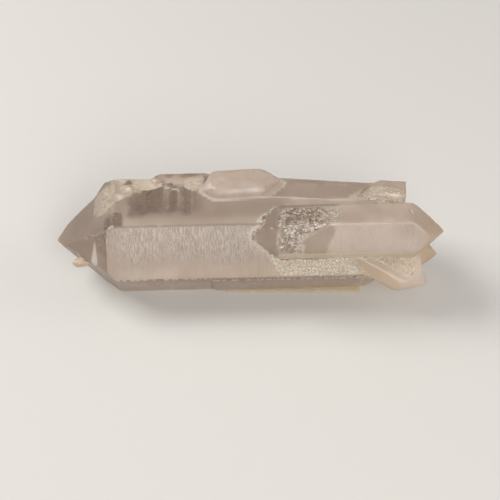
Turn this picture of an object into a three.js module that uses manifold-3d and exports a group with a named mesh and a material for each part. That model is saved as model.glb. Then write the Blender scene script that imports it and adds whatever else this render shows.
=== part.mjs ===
// A cluster of quartz crystals grown side by side, lying on its longest prism face.
// Millimetres, +Z up, +X along the crystals' long axis, the viewer's side at -Y.
// Every crystal is a six-sided prism with a six-faced point at each end, given by how far
// each side lies from its axis and where each end face would cross that axis.
import * as THREE from 'three';
import { LoftGeometry } from 'three/addons/geometries/LoftGeometry.js';
import { mergeVertices } from 'three/addons/utils/BufferGeometryUtils.js';
import Module from 'manifold-3d';

// Quartz angle: an end face drops towards the axis at this slope
const END_FACE_ANGLE = 38.2;
const END_SLOPE = Math.tan(THREE.MathUtils.degToRad(END_FACE_ANGLE));

// Middle of the footprint in the crystals' own frame, which becomes the origin
const FOOT_CENTRE = { x: -0.69, y: -1.98 };

// The main crystal rests on its bottom side, so its axis is as high as that side is far
const MAIN_AXIS = { y: -1.0, z: 11.6 };
const MAIN_TIP = -49;
const MAIN_TOP = 11.9;

// Growth lines: shallow steps that ring the prism sides
const GROWTH_DEPTH = 0.12;
const GROWTH_WIDTH = 0.25;
const GROWTH_PITCH = 1.6;

// Sides are numbered from the top one (0) round by the front (1, 2) to the bottom (3) and back (4, 5).
// side: distance of each prism side from the axis. left, right: where each end face meets the axis.
// turn: yaw, pitch and roll in degrees. growth: the sides and the stretch that have growth lines.
const CRYSTALS = {
  main: {
    at: [0, MAIN_AXIS.y, MAIN_AXIS.z],
    side: [MAIN_TOP, 12.4, 12.5, MAIN_AXIS.z, 12.6, 11.6],
    left: [MAIN_TIP, MAIN_TIP, MAIN_TIP, MAIN_TIP - 2, MAIN_TIP, MAIN_TIP - 3.1],
    right: [46, 46, 46, 46, 44, 46],
    growth: { sides: [1, 2, 4], from: -32, to: 28 },
  },
  lower_front: {
    at: [0, MAIN_AXIS.y, MAIN_AXIS.z],
    side: [9, 12.2, 12.9, MAIN_AXIS.z, 9, 9],
    left: [-26, -26, -26, -26, -24, -24],
    right: [44, 44, 44, 44, 44, 44],
  },
  back_left: {
    at: [0, 3, MAIN_AXIS.z],
    side: [MAIN_TOP, 8.6, 9, 9.4, 10, 10.75],
    left: [MAIN_TIP, -44, -44, -44, -37.9, -60],
    right: [6, 4, 4, 7, 9, 7],
  },
  back_ridge: {
    at: [-17, 8.2, 21.6],
    side: [2.2, 2.6, 3, 3, 3, 2.5],
    left: [-9.5, -9, -9, -9, -9, -9],
    right: [10, 9, 9, 9, 9, 10],
    turn: [-2, 2, 0],
  },
  back_right: {
    at: [20, 1, 14],
    side: [8.95, 9, 9, 9, 10.2, 9.65],
    left: [-32, -32, -32, -32, -30, -32],
    right: [26, 26, 26, 24, 27, 26],
    turn: [-6.7, 0, 0],
  },
  back_end: {
    at: [30, 2.2, 19.4],
    side: [5.2, 4, 5, 4, 5, 5.3],
    left: [-9, -9, -7, -7, -5, -4.5],
    right: [18, 18, 18, 18, 18, 18],
    turn: [-6.7, 0, 0],
  },
  front: {
    at: [0, -9, 20],
    side: [6.67, 5.68, 5.76, 7, 6.5, 6.56],
    left: [-1.65, -1.32, -0.9, -2.5, -2.5, -2],
    right: [47.3, 50.2, 47.5, 48, 48, 48.9],
    growth: { sides: [1, 2], from: 12, to: 41 },
  },
  top_tablet: {
    at: [-1.6, 5, 23],
    side: [2.7, 3.96, 3.5, 3.5, 4.2, 4.9],
    left: [-12, -10, -10, -10, -10, -15],
    right: [11, 9.6, 10, 10, 11.5, 10.4],
    turn: [6, 0, 0],
  },
  low_right: {
    at: [32.3, -11, 12.6],
    side: [3.2, 5.4, 5, 4, 5, 5],
    left: [-22, -22, -22, -22, -22, -22],
    right: [13.5, 14, 13, 13, 14, 14],
    turn: [-24, -20, 14],
  },
  small_right: {
    at: [34, -6.5, 11.6],
    side: [4.5, 4.5, 4.5, 4.5, 4.5, 4.5],
    left: [-22, -22, -22, -22, -22, -22],
    right: [13.5, 13.5, 13.5, 13.5, 13.5, 13.5],
    turn: [-5, -5, 0],
  },
  nub: {
    at: [-42.4, -7.6, 10.3],
    side: [1.3, 1.3, 1.2, 1.2, 1.3, 1.3],
    left: [-2.8, -2.6, -2.6, -2.8, -2.8, -2.8],
    right: [3, 3, 3, 3, 3, 3],
    turn: [20, -5, 0],
  },
};

// A thin plate at the foot of the front, the ledge behind the main crystal's top, and the
// broken end of the small crystal behind
const FOOT_PLATE = { at: [11, -7.6, 0.5], size: [34, 5.4, 1], yaw: -1.6 };
const LEDGE = { at: [39.8, 12.98, 27.9], size: [70, 30, 10], yaw: -5.2 };
const BROKEN_END = { at: [48.4, -1.6, 21], size: [20, 30, 12], yaw: -9 };

// Chips: flaked hollows, each a low ball pressed into the surface. The first is the broad
// pocket at the back of the top, the rest are the scar that runs from it to the left point.
const CHIPS = [
  { at: [-25.9, 6.9, 24.5], radii: [5, 2.9, 2.4], detail: 2 },
  { at: [-32.6, 7.6, 24.6], radii: [2.4, 2.2, 1.9], detail: 1 },
  { at: [-31.2, 4.6, 24.4], radii: [2.3, 1.9, 1.5], detail: 1 },
  { at: [-33.1, 1.8, 24.2], radii: [2.2, 1.7, 1.3], detail: 1 },
  { at: [-35.6, 0.7, 23.2], radii: [1.9, 1.5, 1.6], detail: 1 },
  { at: [-36.4, 4.6, 22.6], radii: [2.2, 2.4, 1.7], detail: 1 },
];

// Crusts of small points, each scattered over part of one side of a crystal.
// along: stretch of the crystal's axis. across: share of the side's width, from its upper edge.
const CRUSTS = [
  { on: 'main', side: 1, along: [6, 30], across: [0.74, 0.97], count: 62, radius: 0.62, height: 1.05 },
  { on: 'main', side: 1, along: [0.9, 6], across: [0.56, 0.86], count: 22, radius: 0.55, height: 0.9 },
  { on: 'main', side: 1, along: [-1.2, 0.6], across: [0.06, 0.62], count: 16, radius: 0.5, height: 0.8 },
  { on: 'main', side: 0, along: [1, 8], across: [0.72, 0.97], count: 14, radius: 0.5, height: 0.8 },
  { on: 'back_end', side: 1, along: [-4, 7.5], across: [0.12, 0.8], count: 20, radius: 0.6, height: 0.9 },
  { on: 'low_right', side: 0, along: [0, 8], across: [0.25, 0.7], count: 16, radius: 0.55, height: 0.7 },
];
const POINT_SIDES = 6;
const POINT_SUNK = 0.45;
const POINT_TILT = 0.45;
const POINT_SCALE = { from: 0.65, to: 1.25 };
const CRUST_SEED = 7;

const wasm = await Module();
wasm.setup();

// A closed mesh as a solid, from its positions alone
const solidOf = (geometry) => {
  const bare = new THREE.BufferGeometry();
  bare.setAttribute('position', geometry.getAttribute('position'));
  bare.setIndex(geometry.index);
  const merged = mergeVertices(bare, 1e-4);
  const mesh = new wasm.Mesh({
    numProp: 3,
    vertProperties: new Float32Array(merged.attributes.position.array),
    triVerts: new Uint32Array(merged.index.array),
  });
  return new wasm.Manifold(mesh);
};

// A side can't reach past the corner of its neighbours: it shrinks to nothing there
const clampSides = (distances) => {
  let d = distances.slice();
  for (let pass = 0; pass < 3; pass += 1) {
    d = d.map((value, k) => Math.min(value, d[(k + 5) % 6] + d[(k + 1) % 6]));
  }
  return d;
};

const growthAt = (crystal, k, x) => {
  const growth = crystal.growth;
  if (!growth || !growth.sides.includes(k) || x < growth.from || x > growth.to) return 0;
  const step = Math.floor((x - growth.from) / GROWTH_PITCH);
  return step % 2 === 0 ? 0 : -GROWTH_DEPTH;
};

// Distance of each side from the axis at x: the prism side, or an end face where that is nearer
const rawSides = (crystal, x) => crystal.side.map((side, k) => Math.min(
  side + growthAt(crystal, k, x),
  END_SLOPE * (x - crystal.left[k]),
  END_SLOPE * (crystal.right[k] - x),
));

const widthSigns = (crystal, x) => {
  const d = rawSides(crystal, x);
  return d.map((value, k) => Math.sign(d[(k + 5) % 6] + d[(k + 1) % 6] - value));
};

// Where the sides come closer than this, the crystal has ended
const LEAST_SPAN = 0.02;
const SEARCH_STEPS = 6000;

const isOpen = (d) => {
  const across = [0, 1, 2].every((k) => d[k] + d[k + 3] > LEAST_SPAN);
  return across && d[0] + d[2] + d[4] > LEAST_SPAN && d[1] + d[3] + d[5] > LEAST_SPAN;
};

// Where along the axis the outline changes: both ends, each end face's foot, each growth line
// and each place where a side runs out
const stationsOf = (crystal) => {
  const low = Math.min(...crystal.left) - 1;
  const high = Math.max(...crystal.right) + 1;
  const fine = Array.from({ length: SEARCH_STEPS + 1 }, (_, i) => low + ((high - low) * i) / SEARCH_STEPS);
  const inside = fine.filter((x) => isOpen(clampSides(rawSides(crystal, x))));
  const first = inside[0];
  const last = inside[inside.length - 1];
  const stations = [first, last];
  crystal.side.forEach((side, k) => {
    stations.push(crystal.left[k] + side / END_SLOPE, crystal.right[k] - side / END_SLOPE);
  });
  for (let i = 1; i < inside.length; i += 1) {
    const before = widthSigns(crystal, inside[i - 1]);
    const after = widthSigns(crystal, inside[i]);
    if (before.some((sign, k) => sign !== after[k])) stations.push(inside[i]);
  }
  if (crystal.growth) {
    const { from, to } = crystal.growth;
    for (let x = from; x <= to; x += GROWTH_PITCH) stations.push(x - GROWTH_WIDTH / 2, x + GROWTH_WIDTH / 2);
  }
  stations.sort((a, b) => a - b);
  const within = stations.filter((x) => x >= first && x <= last);
  return within.filter((x, i) => i === 0 || x - within[i - 1] > LEAST_SPAN);
};

// The six corners at x, corner k between side k and the next one
const sectionAt = (crystal, x) => {
  const d = clampSides(rawSides(crystal, x));
  return d.map((value, k) => {
    const angle = THREE.MathUtils.degToRad(60 * k);
    const along = (2 * d[(k + 1) % 6] - value) / Math.sqrt(3);
    const y = -value * Math.sin(angle) - along * Math.cos(angle);
    const z = value * Math.cos(angle) - along * Math.sin(angle);
    return new THREE.Vector3(x, y, z);
  });
};

const placeOf = (crystal) => {
  const [yaw, pitch, roll] = (crystal.turn ?? [0, 0, 0]).map(THREE.MathUtils.degToRad);
  const place = new THREE.Matrix4().makeRotationFromEuler(new THREE.Euler(roll, -pitch, yaw, 'ZYX'));
  return place.setPosition(...crystal.at);
};

const crystalSolid = (crystal) => {
  const sections = stationsOf(crystal).map((x) => sectionAt(crystal, x));
  const geometry = new LoftGeometry(sections, { capStart: true, capEnd: true });
  return solidOf(geometry.applyMatrix4(placeOf(crystal)));
};

// A block given by its middle, its size and its turn about the upright
const blockSolid = ({ at, size, yaw }) => {
  const geometry = new THREE.BoxGeometry(...size);
  geometry.rotateZ(THREE.MathUtils.degToRad(yaw));
  geometry.translate(...at);
  return solidOf(geometry);
};

const chipSolid = (chip) => {
  const geometry = new THREE.IcosahedronGeometry(1, chip.detail);
  geometry.scale(...chip.radii);
  geometry.translate(...chip.at);
  return solidOf(geometry);
};

// Repeatable random numbers from 0 to 1
THREE.MathUtils.seededRandom(CRUST_SEED);
const chance = () => THREE.MathUtils.seededRandom();

const crustSolids = (crust) => {
  const crystal = CRYSTALS[crust.on];
  const place = placeOf(crystal);
  const angle = THREE.MathUtils.degToRad(60 * crust.side);
  const outward = new THREE.Vector3(0, -Math.sin(angle), Math.cos(angle)).transformDirection(place);
  const points = [];
  for (let i = 0; i < crust.count; i += 1) {
    const share = (i + chance()) / crust.count;
    const x = THREE.MathUtils.lerp(crust.along[0], crust.along[1], share);
    const corners = sectionAt(crystal, x);
    const upper = corners[(crust.side + 5) % 6];
    const lower = corners[crust.side];
    const down = THREE.MathUtils.lerp(crust.across[0], crust.across[1], chance());
    const spot = upper.clone().lerp(lower, down).applyMatrix4(place);
    const size = THREE.MathUtils.lerp(POINT_SCALE.from, POINT_SCALE.to, chance());
    const tilt = new THREE.Vector3(chance() - 0.5, chance() - 0.5, chance() - 0.5);
    const direction = outward.clone().addScaledVector(tilt, 2 * POINT_TILT).normalize();
    const upright = new THREE.Vector3(0, 1, 0);
    const height = crust.height * size;
    const geometry = new THREE.ConeGeometry(crust.radius * size, height, POINT_SIDES);
    geometry.translate(0, height * (0.5 - POINT_SUNK), 0);
    geometry.applyQuaternion(new THREE.Quaternion().setFromUnitVectors(upright, direction));
    geometry.translate(spot.x, spot.y, spot.z);
    points.push(solidOf(geometry));
  }
  return points;
};

const buildCluster = () => {
  let body = crystalSolid(CRYSTALS.main).add(crystalSolid(CRYSTALS.back_left));
  body = body.add(crystalSolid(CRYSTALS.lower_front));
  for (const chip of CHIPS) body = body.subtract(chipSolid(chip));
  body = body.subtract(blockSolid(LEDGE));
  body = body.add(crystalSolid(CRYSTALS.back_end).subtract(blockSolid(BROKEN_END)));
  for (const name of ['back_ridge', 'back_right', 'front', 'top_tablet', 'low_right', 'small_right', 'nub']) {
    body = body.add(crystalSolid(CRYSTALS[name]));
  }
  for (const crust of CRUSTS) {
    for (const point of crustSolids(crust)) body = body.add(point);
  }
  return body.add(blockSolid(FOOT_PLATE));
};

const geometryOf = (solid) => {
  const mesh = solid.getMesh();
  const geometry = new THREE.BufferGeometry();
  geometry.setAttribute('position', new THREE.BufferAttribute(new Float32Array(mesh.vertProperties), 3));
  geometry.setIndex(new THREE.BufferAttribute(new Uint32Array(mesh.triVerts), 1));
  geometry.computeVertexNormals();
  return geometry;
};

const milkyQuartz = new THREE.MeshStandardMaterial({
  color: '#cdb9a6',
  roughness: 0.35,
  metalness: 0,
  flatShading: true,
});

const clusterGeometry = geometryOf(buildCluster());
clusterGeometry.translate(-FOOT_CENTRE.x, -FOOT_CENTRE.y, 0);
const cluster = new THREE.Mesh(clusterGeometry, milkyQuartz);
cluster.name = 'quartz_cluster';

const quartz = new THREE.Group();
quartz.add(cluster);

export default quartz;
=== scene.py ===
"""Quartz cluster: the finished surface of the crystals, their milky glass and a plain studio.

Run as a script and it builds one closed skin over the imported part.
"""
import itertools
import math

import bmesh
import bpy
import numpy as np
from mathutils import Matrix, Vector


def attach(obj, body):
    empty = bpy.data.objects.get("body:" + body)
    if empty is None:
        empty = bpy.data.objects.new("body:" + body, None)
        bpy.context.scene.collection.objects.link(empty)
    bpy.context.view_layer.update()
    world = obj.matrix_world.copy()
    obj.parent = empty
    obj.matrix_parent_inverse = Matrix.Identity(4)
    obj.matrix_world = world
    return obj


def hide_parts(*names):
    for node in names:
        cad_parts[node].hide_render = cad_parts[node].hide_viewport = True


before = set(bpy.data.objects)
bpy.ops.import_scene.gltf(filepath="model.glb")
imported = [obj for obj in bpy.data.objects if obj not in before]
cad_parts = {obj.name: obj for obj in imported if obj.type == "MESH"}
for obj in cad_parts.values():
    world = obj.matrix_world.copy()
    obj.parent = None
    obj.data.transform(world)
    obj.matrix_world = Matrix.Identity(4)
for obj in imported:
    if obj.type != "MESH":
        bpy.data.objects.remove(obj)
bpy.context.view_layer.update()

bl_info = {
    "name": "Quartz Cluster",
    "version": (1, 0, 0),
    "blender": (4, 5, 0),
    "location": "View3D > Sidebar > Quartz",
    "description": "Builds a cluster of milky quartz crystals and a plain studio round it",
    "category": "Add Mesh",
}

# Shapes are worked out in millimetres in the crystals' own frame, then moved into the part's frame in metres
MILLIMETRE = 0.001
FOOT_CENTRE = np.array([-0.69, -1.98, 0.0])

# Edges of the joined skin that are shorter than this are closed
SHORTEST_EDGE = 0.0001

# Quartz end faces lean towards the axis by this angle, in degrees
END_FACE_ANGLE = 38.2
END_SLOPE = math.tan(math.radians(END_FACE_ANGLE))

AXIS_HEIGHT = 11.6
MAIN_AXIS = (0.0, -1.0, AXIS_HEIGHT)
MAIN_TIP = -49.0
MAIN_TOP = 11.9

# The planes of a crystal are numbered: six prism sides from the top one round by the front to the bottom and
# the back, then the six left end faces and the six right end faces in the same order
TOP, UPPER_FRONT, LOWER_FRONT, BOTTOM, LOWER_BACK, UPPER_BACK = range(6)
LEFT_ENDS = range(6, 12)
FRONT_SIDES = (UPPER_FRONT, LOWER_FRONT)
BACK_SIDES = (LOWER_BACK, UPPER_BACK)

# side: distance of each prism side from the axis. left, right: where each end face meets the axis.
# turn: yaw, pitch and roll in degrees. rows: spacing of the grid along the axis. columns: how many the grid
# has on each side, one number for all or six. milk: how pale the crystal is. growth: the sides that have
# growth lines. round: how far from an edge its rounding starts, and how deep it is, on the rounder crystals.
CRYSTALS = {
    "main": dict(
        at=MAIN_AXIS, rows=0.22, columns=(22, 18, 9, 4, 9, 9), milk=0.5,
        growth=FRONT_SIDES + BACK_SIDES,
        side=(MAIN_TOP, 12.4, 12.5, AXIS_HEIGHT, 12.6, 11.6),
        left=(MAIN_TIP, MAIN_TIP - 2, MAIN_TIP, MAIN_TIP - 2, MAIN_TIP, MAIN_TIP - 3.1),
        right=(46, 46, 46, 46, 44, 46)),
    "lower_front": dict(
        at=MAIN_AXIS, rows=0.45, columns=(4, 12, 9, 3, 3, 3), milk=0.35, growth=FRONT_SIDES,
        side=(9, 12.2, 12.9, AXIS_HEIGHT, 9, 9),
        left=(-26, -26, -26, -26, -24, -24),
        right=(44, 44, 44, 44, 44, 44)),
    "back_left": dict(
        at=(0, 3, AXIS_HEIGHT), rows=0.45, columns=(10, 3, 3, 4, 10, 10), milk=0.45,
        growth=(BOTTOM, LOWER_BACK, UPPER_BACK),
        side=(MAIN_TOP, 8.6, 9, 9.4, 10, 10.75),
        left=(MAIN_TIP, -44, -44, -44, -37.9, -60),
        right=(6, 4, 4, 7, 9, 7)),
    "back_ridge": dict(
        at=(-17, 8.2, 21.6), turn=(-2, 2, 0), rows=0.4, columns=9, milk=0.35,
        side=(2.2, 2.6, 3, 3, 3, 2.5),
        left=(-9.5, -9, -9, -9, -9, -9),
        right=(10, 9, 9, 9, 9, 10)),
    "back_right": dict(
        at=(20, 1, 14), turn=(-6.7, 0, 0), rows=0.4, columns=(12, 4, 4, 4, 10, 10), milk=0.2,
        growth=BACK_SIDES,
        side=(8.95, 9, 9, 9, 10.2, 9.65),
        left=(-32, -32, -32, -32, -30, -32),
        right=(26, 26, 26, 24, 27, 26)),
    "back_end": dict(
        at=(30, 2.2, 19.4), turn=(-6.7, 0, 0), rows=0.3, columns=12, milk=0.1,
        side=(5.2, 4, 5, 4, 5, 5.3),
        left=(-9, -9, -7, -7, -5, -4.5),
        right=(18, 18, 18, 18, 18, 18)),
    "front": dict(
        at=(0, -9, 20), rows=0.27, columns=(15, 18, 10, 6, 10, 10), milk=1.0, growth=FRONT_SIDES,
        side=(6.67, 5.68, 5.76, 7, 6.5, 6.56),
        left=(-1.65, -1.32, -0.9, -2.5, -2.5, -2),
        right=(47.3, 50.2, 47.5, 48, 48, 48.9)),
    "top_tablet": dict(
        at=(-1.6, 5, 23), turn=(3.5, 0, 0), rows=0.25, columns=13, milk=0.9, round=(1.3, 0.15),
        side=(2.7, 3.96, 3.5, 3.5, 4.2, 4.8),
        left=(-11.6, -12.4, -11.8, -9.8, -9.8, -15),
        right=(11.6, 10.2, 10.4, 10.4, 11.8, 11.2)),
    "low_right": dict(
        at=(32.3, -11, 12.6), turn=(-24, -20, 14), rows=0.3, columns=12, milk=0.9, round=(0.9, 0.14),
        side=(3.2, 5.4, 5, 4, 5, 5),
        left=(-22, -22, -22, -22, -22, -22),
        right=(13.5, 14, 13, 13, 14, 14)),
    "small_right": dict(
        at=(34, -6.5, AXIS_HEIGHT), turn=(-5, -5, 0), rows=0.4, columns=10, milk=0.7,
        side=(4.5, 4.5, 4.5, 4.5, 4.5, 4.5),
        left=(-22, -22, -22, -22, -22, -22),
        right=(13.5, 13.5, 13.5, 13.5, 13.5, 13.5)),
    "nub": dict(
        at=(-42.4, -7.6, 10.3), turn=(20, -5, 0), rows=0.15, columns=7, milk=0.8,
        side=(1.3, 1.3, 1.2, 1.2, 1.3, 1.3),
        left=(-2.8, -2.6, -2.6, -2.8, -2.8, -2.8),
        right=(3, 3, 3, 3, 3, 3)),
}

# Farther than any mask reaches
FAR_AWAY = 9.0

# How far from an edge its wear starts, and how many times deeper it is where the edge is chipped
WEAR_REACH = 0.6
CHIP_DEPTH = 2.2

# The crystals that make up the body, and those with a crusted seam where they grew out of the others
BODY = ("main", "back_left", "lower_front", "back_right")
SEAMED = ("front", "top_tablet", "low_right", "back_end", "nub")

# The thin plate at the foot, the ledge behind the top and the broken end of the short crystal behind
FOOT_PLATE = dict(at=(11, -7.6, 0.5), size=(34, 5.4, 1.0), yaw=-1.6)
LEDGE = dict(at=(39.8, 12.98, 27.72), size=(70, 30, 10), yaw=-5.2)
BROKEN_END = dict(at=(48.4, -1.6, 21), size=(20, 30, 12), yaw=-9)

# Flaked hollows: the broad pocket behind the top, then the scar that runs from it to the left point
CHIPS = (
    dict(at=(-25.9, 6.9, 24.5), radii=(5, 2.9, 2.4)),
    dict(at=(-32.6, 7.6, 24.6), radii=(2.4, 2.2, 1.9)),
    dict(at=(-31.2, 4.6, 24.4), radii=(2.3, 1.9, 1.5)),
    dict(at=(-33.1, 1.8, 24.2), radii=(2.2, 1.7, 1.3)),
    dict(at=(-35.6, 0.7, 23.2), radii=(1.9, 1.5, 1.6)),
    dict(at=(-36.4, 4.6, 22.6), radii=(2.2, 2.4, 1.7)),
)

# Whatever lies above this height on the body is its top, and the hollows end at the rim's height
TOP_LEVEL = 22.6
POCKET_RIM = 23.45

# Rough patches laid on a crystal's side or end face. face: the side's number, or ("left", number).
# along and down: the stretch covered, in the face's own directions. cell: size of one small point.
# tall: height of the points. grid: spacing of the patch's grid. where: the rule for its outline.
# white: how much of it is white broken quartz.
PATCHES = (
    dict(name="ledge", on="main", face=UPPER_FRONT, along=(-3, 33), down=(-7.2, 7.2), where="ledge",
         white=0.85, cell=0.4, tall=0.22, grid=0.15),
    dict(name="top_rim", on="main", face=TOP, along=(0, 12), down=(-2, 7.2), where="rim",
         white=0.9, cell=0.5, tall=0.26, grid=0.16),
    dict(name="window", on="front", face=UPPER_FRONT, along=(4.5, 21), down=(-5.2, 4.2), where="window",
         white=1.0, cell=0.32, tall=0.16, grid=0.13),
    dict(name="window_top", on="front", face=TOP, along=(4, 24), down=(-3.4, 3.6), where="window_top",
         white=1.0, cell=0.32, tall=0.1, grid=0.13),
    dict(name="end_front", on="back_end", face=UPPER_FRONT, along=(-2.5, 9), down=(-3, 3.2), where="oval",
         white=0.6, cell=0.42, tall=0.22, grid=0.15),
    dict(name="end_top", on="back_end", face=TOP, along=(-0.5, 9), down=(-1.0, 2.6), where="oval",
         white=0.4, cell=0.42, tall=0.15, grid=0.15),
    dict(name="slant_top", on="low_right", face=TOP, along=(-4, 9), down=(-3.4, 3.0), where="oval",
         white=0.5, cell=0.5, tall=0.14, grid=0.15),
    dict(name="scar", on="main", face=("left", TOP), along=(12.5, 18.8), down=(-9, 1.5), where="spot",
         white=0.1, cell=0.5, tall=0.08, grid=0.16),
    dict(name="scar_top", on="main", face=TOP, along=(-35, -26.5), down=(-10, 0.6), where="scar",
         white=0.1, cell=0.5, tall=0.08, grid=0.16),
    dict(name="back_bit", on="main", face=TOP, along=(-16.8, -10.5), down=(-9.4, -4.6), where="spot",
         white=0.35, cell=0.5, tall=0.12, grid=0.16),
)

# These patches are there before the hollows are flaked out
EARLY_PATCHES = ("scar", "scar_top", "back_bit")

# Outlines that fill their patch: the power of the rounded box, and how uneven its border is
ROUNDED_OUTLINES = {"oval": (4.0, 0.7), "spot": (2.4, 1.3)}

# The front crystal is clear as far as this place along its top edge, and frosted past it. In front of the
# edge that border leans, by so much for each millimetre.
WINDOW_END = 21.8
WINDOW_LEAN = 0.65
WINDOW_TOP_EDGE = -10.2

# White marks on the surface, some of them painted glints: start, end and half width at each of them
MARKS_AND_GLINTS = (
    ((-38.52, -10.9, 14.08), (-38.22, -8.7, 18.37), 1.05, 0.08),
    ((-36.5, -7.8, 22.6), (-34.9, -9.2, 22.75), 0.25, 0.15),
    ((-21.8, 5.2, 23.5), (-17.6, 4.0, 23.5), 0.15, 0.25),
    ((6.2, -11.0, 26.7), (7.3, -8.0, 26.7), 0.12, 0.15),
    ((7.3, -8.0, 26.7), (9.0, -6.6, 26.7), 0.15, 0.2),
    ((9.0, -6.6, 26.7), (22.0, -6.2, 26.7), 0.22, 0.12),
    # The six short strokes from here are painted glints: white spots where the fracture in the front crystal's
    # window catches the light.
    ((6.0, -13.1, 24.3), (7.1, -12.9, 24.6), 0.08, 0.05),
    ((7.1, -12.9, 24.6), (7.6, -13.5, 23.6), 0.08, 0.02),
    ((6.6, -14.5, 21.9), (7.3, -14.1, 22.6), 0.02, 0.08),
    ((10.7, -13.5, 23.6), (11.4, -14.1, 22.5), 0.06, 0.06),
    ((11.4, -14.1, 22.5), (12.6, -13.6, 23.3), 0.06, 0.04),
    ((11.6, -14.9, 21.2), (12.8, -14.4, 22.0), 0.04, 0.08),
    ((21.9, -8.0, 26.7), (21.4, -11.5, 26.7), 0.05, 0.08),
    ((21.4, -11.5, 26.7), (18.0, -15.6, 19.8), 0.08, 0.08),
)

# Faint pale patches, given in the same way
HAZES = (
    ((-1.4, 3.3, 25.7), (1.8, 1.7, 25.7), 1.2, 1.0),
    ((-7.0, 3.0, 25.0), (-6.6, 2.9, 25.0), 0.3, 0.3),
)

# Grooves painted dark as shade, given in the same way
SHADED_GROOVES = (
    ((27.0, -0.4, 24.6), (30.9, 4.2, 24.6), 0.25, 0.2),
    ((-30.8, 6.9, 23.4), (-28.4, 7.6, 23.4), 0.7, 0.5),
)

# Pale veils that cross the clear part of the top: place along the axis and width
VEILS = ((-21.2, 0.22), (-20.4, 0.5), (-17.5, 0.4), (-16.6, 0.18), (-14.2, 0.25))

# The studio: places and sizes of the soft lights and the drop from the cluster's foot to the floor, in metres
KEY_PLACE = (-0.42, 0.16, 0.48)
KEY_SIZE = 0.34
FILL_PLACE = (0.16, -0.58, 0.46)
FILL_SIZE = 0.5
SIDE_PLACE = (0.5, 0.02, 0.26)
SIDE_SIZE = 0.3
FLOOR_DROP = 0.0001
WARM_WHITE = (1.0, 0.97, 0.93)
WARMER_WHITE = (1.0, 0.94, 0.86)
COOL_WHITE = (0.93, 0.94, 0.96)


def rise(value, low, high):
    """Smooth step: 0 at low, 1 at high, with an S curve between them."""
    t = np.clip((value - low) / (high - low), 0, 1)
    return t * t * (3 - 2 * t)


def soft_noise(place, cell, seed):
    """Smooth random field from 0 to 1: random values on a repeating lattice, joined by S curves."""
    size = 32
    lattice = np.random.default_rng(seed).random((size,) * place.shape[-1])
    scaled = place / np.asarray(cell, float)
    base = np.floor(scaled).astype(int)
    part = scaled - base
    part = part * part * (3 - 2 * part)
    total = np.zeros(place.shape[:-1])
    for corner in itertools.product((0, 1), repeat=place.shape[-1]):
        weight = np.prod(np.where(np.array(corner) == 1, part, 1 - part), -1)
        index = tuple((base + np.array(corner)).T % size)
        total += weight * lattice[index].T
    return total


def layered_noise(place, cell, seed):
    """Three layers of smooth noise, each half the size and half the strength of the one before."""
    first = soft_noise(place, cell, seed)
    second = soft_noise(place, np.asarray(cell) / 2, seed + 1)
    third = soft_noise(place, np.asarray(cell) / 4, seed + 2)
    return (4 * first + 2 * second + third) / 7


def faceted_relief(across, cell, seed):
    """Height from 0 to about 1 of a crust of small tilted points, one in each cell of a jittered lattice.
    Each falls away as a six-sided pyramid with its own turn, tilt and height, and the highest one shows."""
    rng = np.random.default_rng(seed)
    size = 64
    jitter = rng.random((size, size, 2))
    turn = rng.random((size, size)) * math.pi / 3
    tilt = rng.normal(0, 0.38, (size, size, 2))
    peak = 0.35 + 0.65 * rng.random((size, size))
    scaled = across / cell
    base = np.floor(scaled).astype(int)
    best = np.full(across.shape[:-1], -9.0)
    for step in itertools.product((-1, 0, 1), repeat=2):
        near = base + np.array(step)
        index = tuple(np.moveaxis(near % size, -1, 0))
        offset = scaled - near - jitter[index]
        angle = turn[index][..., None] + np.arange(6) * math.pi / 3
        spread = offset[..., :1] * np.cos(angle) + offset[..., 1:] * np.sin(angle)
        height = peak[index] - 0.95 * spread.max(-1) + (offset * tilt[index]).sum(-1)
        best = np.maximum(best, height)
    return np.clip(best, 0, 1.3)


def turn_about(axis, degrees):
    """The turn about one of the three axes that takes the first of the other two towards the second."""
    angle = math.radians(degrees)
    first, second = [other for other in range(3) if other != axis]
    turn = np.eye(3)
    turn[first, first] = turn[second, second] = math.cos(angle)
    turn[first, second] = -math.sin(angle)
    turn[second, first] = math.sin(angle)
    return turn


def turning(crystal):
    """Turn of a crystal: roll about its axis, then pitch, then yaw about the upright."""
    yaw, pitch, roll = crystal.get("turn", (0, 0, 0))
    return turn_about(2, yaw) @ turn_about(1, pitch) @ turn_about(0, roll)


def side_directions():
    """Outward direction of each side, and the direction across it to the next one, in the crystal's frame."""
    angle = np.radians(60.0) * np.arange(6)
    nothing = np.zeros(6)
    outward = np.stack([nothing, -np.sin(angle), np.cos(angle)], 1)
    across = np.stack([nothing, -np.cos(angle), -np.sin(angle)], 1)
    return outward, across


OUTWARD, ACROSS = side_directions()


def side_distances(crystal, stations):
    """Distance of the six sides from the axis: the least of the prism side and the two end faces, which close
    in at the quartz slope, and never past the corner of the side's neighbours."""
    x = np.asarray(stations, float)[:, None]
    side, left, right = (np.array(crystal[key], float) for key in ("side", "left", "right"))
    d = np.minimum(side, np.minimum(END_SLOPE * (x - left), END_SLOPE * (right - x)))
    for _ in range(3):
        d = np.minimum(d, np.roll(d, 1, 1) + np.roll(d, -1, 1))
    return d


def planes_of(crystal):
    """The eighteen planes that bound a crystal, as outward directions and offsets in the cluster's frame: six
    prism sides, six left end faces, six right end faces."""
    steep = math.hypot(1.0, END_SLOPE)
    along = np.array([[1.0, 0, 0]])
    side, left, right = (np.array(crystal[key], float) for key in ("side", "left", "right"))
    leftward = (OUTWARD - END_SLOPE * along) / steep
    rightward = (OUTWARD + END_SLOPE * along) / steep
    directions = np.concatenate([OUTWARD, leftward, rightward])
    offsets = np.concatenate([side, -END_SLOPE * left / steep, END_SLOPE * right / steep])
    directions = directions @ turning(crystal).T
    return directions, offsets + directions @ np.array(crystal["at"], float)


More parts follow.
